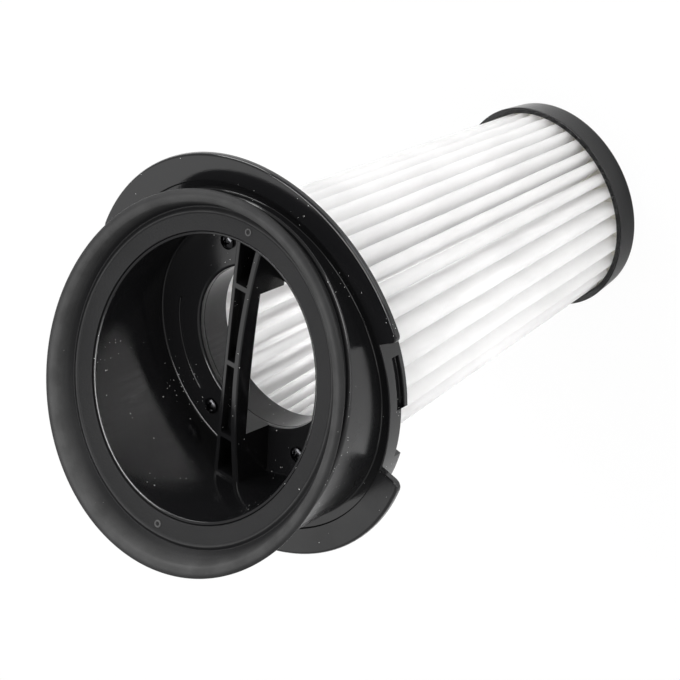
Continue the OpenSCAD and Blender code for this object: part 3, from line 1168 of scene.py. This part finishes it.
@dataclass
class MouthSeal:
    """Soft ring on the oblique rim, with a raised lip that overhangs the neck."""

    layout: Layout
    fit: float = 0.15
    band_r: float = 41.4
    rib_h: float = 0.35
    rib_w: float = 1.1
    groove_r: float = 42.6
    groove_depth: float = 0.45
    foot_r: float = 44.2
    lip_r: float = 48.5
    lip_h: float = 5.0
    dot_y: float = 39.2
    dot_r: float = 0.8
    dot_h: float = 0.25

    def corners(self) -> list[Corner]:
        """Gives the section, with heights over the flat band.

        Returns:
            The corners in order.
        """
        inner = self.layout.bowl_lip_r + self.fit
        thick = self.layout.seal_t
        return [
            Corner(inner, -thick),
            Corner(inner, -0.05, 0.25),
            Corner(self.band_r - self.rib_w / 2, 0.0, 0.3),
            Corner(self.band_r, self.rib_h, 0.3),
            Corner(self.band_r + self.rib_w / 2, 0.0, 0.2),
            Corner(self.groove_r, -self.groove_depth, 0.5),
            Corner(self.groove_r + 1.2, 1.6, 2.0),
            Corner(self.lip_r - 3.4, self.lip_h - 0.6, 2.2),
            Corner(self.lip_r - 1.6, self.lip_h, 1.6),
            Corner(self.lip_r, self.lip_h - 1.3, 1.5),
            Corner(self.lip_r - 2.7, 0.9, 1.5),
            Corner(self.foot_r, -thick / 2, 0.5),
            Corner(self.foot_r, -thick),
        ]

    def ring(self) -> bpy.types.Object:
        """Builds the ring."""
        profile = rounded(self.corners(), 6)
        columns = []
        for angle in frange(0.0, 360.0, 1.0)[:-1]:
            section = [(r, self.layout.mouth(r, angle) + h) for r, h in profile]
            columns.append((angle, section))
        return smoothed(add_object("mouth_seal_soft", swept("mouth_seal_soft", columns, closed=True)), 60)

    def dots(self, material: bpy.types.Material) -> bpy.types.Object:
        """Builds the two small moulding marks on the flat band.

        Args:
            material: The rubber.

        Returns:
            The marks as one piece.
        """
        tree, wires, given, result = make_group(
            "Moulding marks",
            [("Reach", FLOAT, 1.0), ("Radius", FLOAT, 1.0), ("Height", FLOAT, 1.0), ("Lean", VECTOR, None),
             ("Lift", FLOAT, 0.0), ("Material", SUBSTANCE, None)],
            [("Geometry", GEOMETRY)],
            "GeometryNodeTree",
        )
        line = wires.node("GeometryNodeMeshLine", mode="END_POINTS")
        line.inputs["Count"].default_value = 2
        start = wires.node("ShaderNodeCombineXYZ")
        end = wires.node("ShaderNodeCombineXYZ")
        wires.feed(start.inputs["Y"], given.outputs["Reach"])
        wires.feed(end.inputs["Y"], wires.math("MULTIPLY", given.outputs["Reach"], -1.0))
        wires.feed(line.inputs["Start Location"], start.outputs[0])
        wires.feed(line.inputs["Offset"], end.outputs[0])
        circle = wires.node("GeometryNodeCurvePrimitiveCircle")
        circle.inputs["Resolution"].default_value = 32
        wires.feed(circle.inputs["Radius"], given.outputs["Radius"])
        wire = wires.node("GeometryNodeCurvePrimitiveCircle")
        wire.inputs["Resolution"].default_value = 10
        wires.feed(wire.inputs["Radius"], given.outputs["Height"])
        mark = wires.node("GeometryNodeCurveToMesh")
        wires.feed(mark.inputs["Curve"], circle.outputs["Curve"])
        wires.feed(mark.inputs["Profile Curve"], wire.outputs["Curve"])
        copies = wires.node("GeometryNodeInstanceOnPoints")
        wires.feed(copies.inputs["Points"], line.outputs["Mesh"])
        wires.feed(copies.inputs["Instance"], mark.outputs["Mesh"])
        place = wires.node("GeometryNodeTransform")
        wires.feed(place.inputs["Geometry"], copies.outputs["Instances"])
        wires.feed(place.inputs["Rotation"], given.outputs["Lean"])
        lift = wires.node("ShaderNodeCombineXYZ")
        wires.feed(lift.inputs["Z"], given.outputs["Lift"])
        wires.feed(place.inputs["Translation"], lift.outputs[0])
        finish_tree(wires, place.outputs["Geometry"], given.outputs["Material"], result)
        tilt = math.radians(self.layout.mouth_tilt)
        values = {
            "Reach": self.dot_y / math.cos(tilt) * MM,
            "Radius": self.dot_r * MM,
            "Height": self.dot_h * MM,
            "Lean": (tilt, 0.0, 0.0),
            "Lift": (self.layout.face + self.layout.mouth_height) * MM,
            "Material": material,
        }
        return smoothed(grown("moulding_marks", tree, values), 40)

    def build(self, material: bpy.types.Material, worn: bpy.types.Material) -> list[bpy.types.Object]:
        """Builds and dresses the seal.

        Args:
            material: The rubber.
            worn: The paler rubber of the moulding marks.

        Returns:
            Its pieces.
        """
        return [
            deliver(self.ring(), Slot.SEAL, material, "mouth_seal"),
            deliver(self.dots(worn), Slot.SEAL, worn),
        ]


def finish_tree(
    wires: Wires, geometry: bpy.types.NodeSocket, material: bpy.types.NodeSocket, result: bpy.types.Node
) -> None:
    """Ends a geometry tree with real meshes and their material.

    Args:
        wires: Wires of the tree.
        geometry: What the tree has built.
        material: The material that it gets.
        result: The node that holds the tree's output.
    """
    real = wires.node("GeometryNodeRealizeInstances")
    wires.feed(real.inputs["Geometry"], geometry)
    dressed = wires.node("GeometryNodeSetMaterial")
    wires.feed(dressed.inputs["Geometry"], real.outputs["Geometry"])
    wires.feed(dressed.inputs["Material"], material)
    wires.feed(result.inputs["Geometry"], dressed.outputs["Geometry"])


def grown(name: str, tree: bpy.types.NodeTree, values: dict[str, object]) -> bpy.types.Object:
    """Runs a geometry tree and keeps its result as a plain mesh.

    Args:
        name: Name of the piece.
        tree: The tree.
        values: Its inputs by their names.

    Returns:
        The piece.
    """
    thing = add_object(name, bpy.data.meshes.new(name))
    modifier = thing.modifiers.new(tree.name, "NODES")
    modifier.node_group = tree
    for item in tree.interface.items_tree:
        if item.item_type == "SOCKET" and item.in_out == "INPUT" and item.name in values:
            modifier[item.identifier] = values[item.name]
    return settle(thing)


@dataclass
class PackRing:
    """Black ring under the head: plate, skirt and throat tube."""

    layout: Layout
    radius: float = 38.4
    height: float = 6.5
    wall: float = 1.5
    plate_t: float = 2.0
    tube_len: float = 6.5

    def build(self, material: bpy.types.Material) -> bpy.types.Object:
        """Builds and dresses the ring.

        Args:
            material: The plastic.

        Returns:
            The ring.
        """
        at = self.layout
        under = at.plate - self.plate_t
        skirt = at.plate - self.height
        tube = at.throat_r + self.wall
        corners = [
            Corner(at.throat_r, at.plate, 0.15),
            Corner(self.radius, at.plate, 0.5),
            Corner(self.radius, skirt, 0.3),
            Corner(self.radius - self.wall, skirt, 0.3),
            Corner(self.radius - self.wall, under, 0.3),
            Corner(tube, under, 0.3),
            Corner(tube, under - self.tube_len, 0.3),
            Corner(at.throat_r, under - self.tube_len, 0.3),
        ]
        columns = [(angle, rounded(corners)) for angle in frange(0.0, 360.0, 1.5)[:-1]]
        ring = smoothed(add_object("pack_ring_plate", swept("pack_ring_plate", columns, closed=True)))
        return deliver(ring, Slot.RING, material, "pack_ring")


@dataclass
class Screws:
    """Four pan head screws with a cross recess, on the bowl's floor."""

    layout: Layout
    x: float = 15.2
    y: float = 25.1
    head_r: float = 2.1
    head_h: float = 1.3
    recess_span: float = 2.3
    recess_w: float = 0.55
    recess_depth: float = 0.7
    seed: int = 7

    def head(self) -> bpy.types.Object:
        """Builds one screw head on the origin.

        Returns:
            The head, which only serves as a pattern for its copies.
        """
        rim = 0.55 * self.head_h
        turns = 64
        radii = [self.head_r * share for share in (1.0, 0.97, 0.9, 0.8, 0.7, 0.6, 0.5, 0.4, 0.3, 0.2, 0.1)]

        def height(r: float, angle: float) -> float:
            dome = rim + (self.head_h - rim) * (1 - (r / self.head_r) ** 2.5)
            x, y = r * math.cos(angle), r * math.sin(angle)
            across = min(abs(x), abs(y))
            along = max(abs(x), abs(y))
            side = min(1.0, max(0.0, (self.recess_w / 2 - across) / 0.12 + 0.5))
            stop = min(1.0, max(0.0, (self.recess_span / 2 - along) / 0.25 + 0.5))
            return dome - self.recess_depth * side * stop

        shape = bmesh.new()
        rows = [[(self.head_r, 0.0)] * turns]
        loops = [[
            shape.verts.new(Vector((r * math.cos(a), r * math.sin(a), 0.0)) * MM)
            for r, a in ((self.head_r, 2 * math.pi * i / turns) for i in range(len(rows[0])))
        ]]
        for r in radii:
            loop = []
            for i in range(turns):
                a = 2 * math.pi * i / turns
                loop.append(shape.verts.new(Vector((r * math.cos(a), r * math.sin(a), height(r, a))) * MM))
            loops.append(loop)
        middle = shape.verts.new(Vector((0.0, 0.0, height(0.0, 0.0))) * MM)
        for one, two in zip(loops, loops[1:]):
            for i in range(turns):
                j = (i + 1) % turns
                shape.faces.new((one[i], one[j], two[j], two[i]))
        for i in range(turns):
            shape.faces.new((loops[-1][i], loops[-1][(i + 1) % turns], middle))
        shape.faces.new(list(reversed(loops[0])))
        bmesh.ops.recalc_face_normals(shape, faces=shape.faces)
        mesh = bpy.data.meshes.new("screw_head")
        shape.to_mesh(mesh)
        shape.free()
        return smoothed(add_object("screw_head", mesh), 50, weighted=False)

    def tree(self) -> bpy.types.NodeTree:
        """Builds the tree that sets a head on each corner of a rectangle, turned at random."""
        tree, wires, given, result = make_group(
            "Screws at the corners",
            [("Width", FLOAT, 1.0), ("Length", FLOAT, 1.0), ("Height", FLOAT, 0.0), ("Head", THING, None),
             ("Seed", INTEGER, 0), ("Material", SUBSTANCE, None)],
            [("Geometry", GEOMETRY)],
            "GeometryNodeTree",
        )
        corners = wires.node("GeometryNodeMeshGrid")
        corners.inputs["Vertices X"].default_value = 2
        corners.inputs["Vertices Y"].default_value = 2
        wires.feed(corners.inputs["Size X"], given.outputs["Width"])
        wires.feed(corners.inputs["Size Y"], given.outputs["Length"])
        turn = wires.node("FunctionNodeRandomValue", data_type="FLOAT_VECTOR")
        turn.inputs[0].default_value = (0.0, 0.0, 0.0)
        turn.inputs[1].default_value = (0.0, 0.0, math.pi)
        wires.feed(turn.inputs["Seed"], given.outputs["Seed"])
        pattern = wires.node("GeometryNodeObjectInfo")
        wires.feed(pattern.inputs["Object"], given.outputs["Head"])
        copies = wires.node("GeometryNodeInstanceOnPoints")
        wires.feed(copies.inputs["Points"], corners.outputs["Mesh"])
        wires.feed(copies.inputs["Instance"], pattern.outputs["Geometry"])
        wires.feed(copies.inputs["Rotation"], turn.outputs[0])
        place = wires.node("GeometryNodeTransform")
        wires.feed(place.inputs["Geometry"], copies.outputs["Instances"])
        lift = wires.node("ShaderNodeCombineXYZ")
        wires.feed(lift.inputs["Z"], given.outputs["Height"])
        wires.feed(place.inputs["Translation"], lift.outputs[0])
        finish_tree(wires, place.outputs["Geometry"], given.outputs["Material"], result)
        return tree

    def build(self, material: bpy.types.Material) -> bpy.types.Object:
        """Builds and dresses the screws.

        Args:
            material: The steel.

        Returns:
            The four heads as one piece.
        """
        head = self.head()
        values = {
            "Width": 2 * self.x * MM,
            "Length": 2 * self.y * MM,
            "Height": self.layout.floor * MM,
            "Head": head,
            "Seed": self.seed,
            "Material": material,
        }
        screws = grown("screw_heads", self.tree(), values)
        bpy.data.objects.remove(head)
        return deliver(screws, Slot.SCREW, material, "ring_screws")


@dataclass(frozen=True)
class Drift:
    """Slow wave in the spacing of the pleats.

    Attributes:
        waves: Waves round the pack.
        reach: Largest shift, in degrees.
        phase: Phase, in degrees.
    """

    waves: int
    reach: float
    phase: float


@dataclass
class PleatedMedia:
    """White fleece, folded into pleats that are wide at the ring and narrow at the end cap."""

    count: int = 36
    top_r: float = 36.0
    base_r: float = 25.9
    top_z: float = 111.5
    base_z: float = 4.8
    depth: float = 11.2
    thickness: float = 0.5
    points: int = 24
    rows: int = 26
    swell_base: float = 0.85
    swell_top: float = 1.2
    fullness: float = 0.6
    first_valley: float = 8.75
    seed: int = 4
    drifts: tuple[Drift, ...] = (Drift(1, 2.03, -113.5), Drift(2, 4.39, 176.4), Drift(3, 1.79, 40.4))

    def tree(self) -> bpy.types.NodeTree:
        """Builds the tree that folds a flat grid into a ring of pleats.

        Returns:
            The tree, whose inputs are the sizes of the pack in metres and degrees.
        """
        tree, wires, given, result = make_group(
            "Ring of pleats",
            [
                ("Pleats", INTEGER, 36), ("Points", INTEGER, 24), ("Rows", INTEGER, 20),
                ("Top radius", FLOAT, 0.0), ("Base radius", FLOAT, 0.0), ("Depth", FLOAT, 0.0),
                ("Top", FLOAT, 0.0), ("Base", FLOAT, 0.0), ("Swell at top", FLOAT, 1.0),
                ("Swell at base", FLOAT, 1.0), ("Fullness", FLOAT, 0.0), ("First valley", FLOAT, 0.0), ("Unevenness", FLOAT, 0.0),
                ("Seed", FLOAT, 0.0), ("Material", SUBSTANCE, None),
            ],
            [("Geometry", GEOMETRY)],
            "GeometryNodeTree",
        )
        value = given.outputs
        grid = wires.node("GeometryNodeMeshGrid")
        for size in ("Size X", "Size Y"):
            grid.inputs[size].default_value = 1.0
        wires.feed(grid.inputs["Vertices X"], wires.math("MULTIPLY_ADD", value["Pleats"], value["Points"], 1.0))
        wires.feed(grid.inputs["Vertices Y"], value["Rows"])
        spot = wires.node("ShaderNodeSeparateXYZ")
        wires.feed(spot.inputs[0], wires.node("GeometryNodeInputPosition").outputs[0])
        round_share = wires.math("ADD", spot.outputs["X"], 0.5)
        along = wires.math("ADD", spot.outputs["Y"], 0.5)
        fold = wires.math("MULTIPLY", round_share, value["Pleats"])
        full = 2 * math.pi

        swell = wires.mix(along, value["Swell at base"], value["Swell at top"])
        wave = wires.math("SINE", wires.math("MULTIPLY", fold, 2 * full))
        leaned = wires.math("ADD", fold, wires.math("MULTIPLY", wires.math("MULTIPLY", wave, swell), 0.5 / full))
        once = wires.math("SINE", wires.math("MULTIPLY", fold, full))
        wider = wires.math("MULTIPLY", wires.math("MULTIPLY", once, value["Fullness"]), -1.0 / full)
        leaned = wires.math("ADD", leaned, wider)
        even = wires.math("MULTIPLY_ADD", wires.math("DIVIDE", leaned, value["Pleats"]), 360.0, value["First valley"])

        circle = wires.math("MULTIPLY", round_share, full)
        place = wires.node("ShaderNodeCombineXYZ")
        wires.feed(place.inputs["X"], wires.math("MULTIPLY", wires.math("COSINE", circle), 6.0))
        wires.feed(place.inputs["Y"], wires.math("MULTIPLY", wires.math("SINE", circle), 6.0))
        wires.feed(place.inputs["Z"], wires.math("MULTIPLY_ADD", along, 0.9, value["Seed"]))
        shift = wires.math("SUBTRACT", wires.noise(place.outputs[0], 1.0), 0.5)
        other = wires.math("SUBTRACT", wires.noise(place.outputs[0], 1.7), 0.5)

        angle = wires.math("MULTIPLY_ADD", shift, value["Unevenness"], even)
        for drift in self.drifts:
            phase = wires.math("MULTIPLY_ADD", wires.math("RADIANS", even), float(drift.waves), math.radians(drift.phase))
            angle = wires.math("MULTIPLY_ADD", wires.math("SINE", phase), drift.reach, angle)
        turn = wires.math("RADIANS", angle)

        tip = wires.mix(along, value["Base radius"], value["Top radius"])
        slack = wires.math("MULTIPLY", wires.math("MULTIPLY", other, 0.0009), wires.math("SINE", wires.math("MULTIPLY", along, math.pi)))
        tip = wires.math("SUBTRACT", tip, wires.math("ABSOLUTE", slack))
        bend = wires.math("MULTIPLY_ADD", wires.math("COSINE", wires.math("MULTIPLY", fold, full)), 0.5, 0.5)
        radius = wires.math("SUBTRACT", tip, wires.math("MULTIPLY", bend, value["Depth"]))
        folded = wires.node("ShaderNodeCombineXYZ")
        inward = wires.math("MULTIPLY", radius, -1.0)
        wires.feed(folded.inputs["X"], wires.math("MULTIPLY", inward, wires.math("SINE", turn)))
        wires.feed(folded.inputs["Y"], wires.math("MULTIPLY", inward, wires.math("COSINE", turn)))
        wires.feed(folded.inputs["Z"], wires.mix(along, value["Base"], value["Top"]))
        moved = wires.node("GeometryNodeSetPosition")
        wires.feed(moved.inputs["Geometry"], grid.outputs["Mesh"])
        wires.feed(moved.inputs["Position"], folded.outputs[0])
        merged = wires.node("GeometryNodeMergeByDistance")
        wires.feed(merged.inputs["Geometry"], moved.outputs["Geometry"])
        merged.inputs["Distance"].default_value = 1e-6
        finish_tree(wires, merged.outputs["Geometry"], value["Material"], result)
        return tree

    def build(self, material: bpy.types.Material) -> bpy.types.Object:
        """Builds and dresses the pleats.

        Args:
            material: The fleece.

        Returns:
            The pleats.
        """
        values = {
            "Pleats": self.count,
            "Points": self.points,
            "Rows": self.rows,
            "Top radius": (self.top_r - self.thickness / 2) * MM,
            "Base radius": (self.base_r - self.thickness / 2) * MM,
            "Depth": (self.depth - self.thickness) * MM,
            "Top": self.top_z * MM,
            "Base": self.base_z * MM,
            "Swell at top": self.swell_top,
            "Swell at base": self.swell_base,
            "Fullness": self.fullness,
            "First valley": self.first_valley,
            "Unevenness": 2.0,
            "Seed": float(self.seed),
            "Material": material,
        }
        media = grown("pleats", self.tree(), values)
        self.face_outwards(media.data)
        wall = media.modifiers.new("Fleece", "SOLIDIFY")
        wall.thickness = self.thickness * MM
        wall.offset = 0.0
        settle(media)
        return deliver(smoothed(media, 75, weighted=False), Slot.MEDIA, material, "pleated_media")

    @staticmethod
    def face_outwards(mesh: bpy.types.Mesh) -> None:
        """Turns the open ring's faces away from the axis, all of them if their sum points inwards."""
        outward = sum(
            face.area * (face.normal.x * face.center.x + face.normal.y * face.center.y)
            for face in mesh.polygons
        )
        if outward < 0:
            mesh.flip_normals()


@dataclass
class EndCap:
    """Closed black cup at the narrow end, on which the filter stands."""

    rim_r: float = 28.0
    end_r: float = 26.9
    height: float = 7.4
    floor: float = 1.8
    bore_r: float = 26.4
    bore_floor_r: float = 25.6
    bevel: float = 0.8

    def build(self, material: bpy.types.Material) -> bpy.types.Object:
        """Builds and dresses the cup.

        Args:
            material: The plastic.

        Returns:
            The cup.
        """
        corners = [
            Corner(0.0, 0.0),
            Corner(self.end_r, 0.0, self.bevel),
            Corner(self.rim_r, self.height, 0.3),
            Corner(self.bore_r, self.height, 0.25),
            Corner(self.bore_floor_r, self.floor, 0.4),
            Corner(0.0, self.floor),
        ]
        columns = [(angle, rounded(corners, 5)) for angle in frange(0.0, 360.0, 1.5)[:-1]]
        cup = smoothed(add_object("end_cap_cup", swept("end_cap_cup", columns, closed=True)))
        return deliver(cup, Slot.CAP, material, "end_cap")


# The studio


@dataclass(frozen=True)
class Softbox:
    """Soft lamp.

    Attributes:
        name: Name of the lamp.
        place: Its place in metres.
        aim: Point that it faces, in metres.
        size: Its sides in metres.
        power: Its power in watts.
        turn: Its turn about the way it faces, in degrees.
    """

    name: str
    place: tuple[float, float, float]
    aim: tuple[float, float, float]
    size: tuple[float, float]
    power: float
    turn: float = 0.0

    def build(self) -> bpy.types.Object:
        """Builds the lamp.

        Returns:
            The lamp's object.
        """
        light = bpy.data.lights.new(self.name, "AREA")
        light.shape = "RECTANGLE"
        light.size, light.size_y = self.size
        light.energy = self.power
        lamp = bpy.data.objects.new(self.name, light)
        lamp.location = self.place
        way = Vector(self.aim) - Vector(self.place)
        turned = Quaternion((0.0, 0.0, 1.0), math.radians(self.turn))
        lamp.rotation_euler = (way.to_track_quat("-Z", "Y") @ turned).to_euler()
        bpy.context.scene.collection.objects.link(lamp)
        return lamp


@dataclass
class Studio:
    """Pale floor, soft light and the camera.

    The camera looks from the photograph's direction. It is given by its angles, its distance from the
    point that it looks at, and its roll, because the photographed filter lies on its side.
    """

    target: tuple[float, float, float] = (-16.38, -6.16, 107.7)
    azimuth: float = -45.05
    elevation: float = 41.76
    roll: float = -117.28
    distance: float = 1800.0
    lens: float = 370.6
    sensor: float = 36.0
    floor_size: float = 6.0
    floor_gap: float = 0.05
    softboxes: tuple[Softbox, ...] = (
        Softbox("Front", (-0.9, -1.3, 0.45), (0.0, 0.0, 0.07), (1.0, 0.6), 9.6),
        Softbox("Fill", (-1.6, -0.45, 0.5), (0.0, 0.0, 0.07), (0.8, 0.6), 4.0),
        Softbox("Right", (1.2, -1.1, 0.5), (0.0, 0.0, 0.07), (0.8, 0.6), 12.0),
        Softbox("Back", (-1.5, 0.9, 0.45), (0.0, 0.0, 0.07), (0.7, 0.5), 2.6),
        Softbox("Overhead", (0.2, -0.28, 1.5), (0.0, 0.0, 0.1), (1.3, 0.3), 18.0, -60.0),
        Softbox("Side", (0.95, 0.62, 1.1), (0.0, 0.0, 0.1), (0.8, 0.8), 1.6),
    )
    glow_heights: tuple[float, ...] = (24.0, 48.0, 70.0, 90.0)
    glow_radius: float = 12.0
    glow_power: float = 0.018

    def inner_glow(self, height: float) -> bpy.types.Object:
        """Builds a small lamp inside the pack that makes the thin fleece glow.

        Args:
            height: Its height in millimetres.

        Returns:
            The lamp's object.
        """
        light = bpy.data.lights.new("Inner glow", "POINT")
        light.energy = self.glow_power
        light.shadow_soft_size = self.glow_radius * MM
        lamp = bpy.data.objects.new("Inner glow", light)
        lamp.location = (0.0, 0.0, height * MM)
        lamp.visible_camera = False
        lamp.visible_glossy = False
        bpy.context.scene.collection.objects.link(lamp)
        return lamp

    def camera(self) -> bpy.types.Object:
        """Builds the camera at the photograph's viewing angle."""
        turn = math.radians(self.azimuth)
        rise = math.radians(self.elevation)
        back = Vector((math.sin(turn) * math.cos(rise), -math.cos(turn) * math.cos(rise), math.sin(rise)))
        level = Vector((math.cos(turn), math.sin(turn), 0.0))
        upright = back.cross(level)
        roll = math.radians(self.roll)
        right = level * math.cos(roll) + upright * math.sin(roll)
        up = back.cross(right)
        place = (Vector(self.target) + back * self.distance) * MM
        lens = bpy.data.cameras.new("Camera")
        lens.sensor_width = self.sensor
        lens.lens = self.lens
        lens.clip_start = 0.05
        lens.clip_end = 20.0
        camera = bpy.data.objects.new("Camera", lens)
        turned = Matrix((right, up, back)).transposed().to_4x4()
        camera.matrix_world = Matrix.Translation(place) @ turned
        bpy.context.scene.collection.objects.link(camera)
        bpy.context.scene.camera = camera
        return camera

    def floor(self) -> bpy.types.Object:
        """Builds the pale floor, which keeps a soft shadow."""
        half = self.floor_size / 2
        level = -self.floor_gap * MM
        mesh = bpy.data.meshes.new("floor")
        mesh.from_pydata(
            [(-half, -half, level), (half, -half, level), (half, half, level), (-half, half, level)],
            [],
            [(0, 1, 2, 3)],
        )
        floor = add_object("floor", mesh)
        material = bpy.data.materials.new("White floor")
        material.use_nodes = True
        wires = Wires(material.node_tree)
        paper = material.node_tree.nodes["Principled BSDF"]
        paper.inputs["Base Color"].default_value = (0.9, 0.9, 0.9, 1.0)
        paper.inputs["Roughness"].default_value = 0.9
        paper.inputs["Specular IOR Level"].default_value = 0.1
        glow = wires.node("ShaderNodeEmission")
        glow.inputs["Strength"].default_value = 1.0
        path = wires.node("ShaderNodeLightPath")
        seen = wires.math("MAXIMUM", path.outputs["Is Camera Ray"], path.outputs["Is Transmission Ray"])
        share = wires.math("MULTIPLY", seen, 0.97)
        both = wires.node("ShaderNodeMixShader")
        wires.feed(both.inputs[0], share)
        wires.feed(both.inputs[1], paper.outputs[0])
        wires.feed(both.inputs[2], glow.outputs[0])
        wires.feed(material.node_tree.nodes["Material Output"].inputs["Surface"], both.outputs[0])
        mesh.materials.append(material)
        return floor

    def world(self) -> bpy.types.World:
        """Builds the pale surroundings."""
        world = bpy.data.worlds.new("Studio")
        world.use_nodes = True
        wires = Wires(world.node_tree)
        dim = world.node_tree.nodes["Background"]
        dim.inputs["Strength"].default_value = 0.52
        dim.inputs["Color"].default_value = (1.0, 1.0, 1.0, 1.0)
        white = wires.node("ShaderNodeBackground")
        white.inputs["Strength"].default_value = 1.0
        path = wires.node("ShaderNodeLightPath")
        both = wires.node("ShaderNodeMixShader")
        wires.feed(both.inputs[0], path.outputs["Is Camera Ray"])
        wires.feed(both.inputs[1], dim.outputs[0])
        wires.feed(both.inputs[2], white.outputs[0])
        wires.feed(world.node_tree.nodes["World Output"].inputs["Surface"], both.outputs[0])
        bpy.context.scene.world = world
        return world

    def build(self) -> None:
        """Builds the studio."""
        self.camera()
        self.floor()
        self.world()
        for softbox in self.softboxes:
            softbox.build()
        for height in self.glow_heights:
            self.inner_glow(height)
        bpy.context.scene.view_settings.view_transform = "Standard"


def dress_potting(nodes: dict[str, bpy.types.Object], material: bpy.types.Material) -> None:
    """Gives the model's own potting its resin.

    Args:
        nodes: The model's objects by name.
        material: The resin.
    """
    for name in ("top_potting", "base_potting"):
        nodes[name].data.materials.clear()
        nodes[name].data.materials.append(material)
        LOG.info("%s: dressed", name)


def main() -> None:
    """Builds the filter and its studio."""
    logging.basicConfig(level=logging.INFO, format="%(name)s: %(message)s")
    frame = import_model()
    Studio().build()
    effects = Effects()
    glossy = GLOSSY_BLACK.material(effects)
    layout = Layout()
    HeadMoulding(layout).build(glossy)
    MouthSeal(layout).build(SOFT_RUBBER.material(effects), WORN_RUBBER.material(effects))
    PackRing(layout).build(glossy)
    Screws(layout).build(DARK_STEEL.material(effects))
    PleatedMedia().build(WHITE_FLEECE.material(effects))
    EndCap().build(SATIN_BLACK.material(effects))
    dress_potting(frame["nodes"], PALE_RESIN.material(effects))


if __name__ == "__main__":
    main()
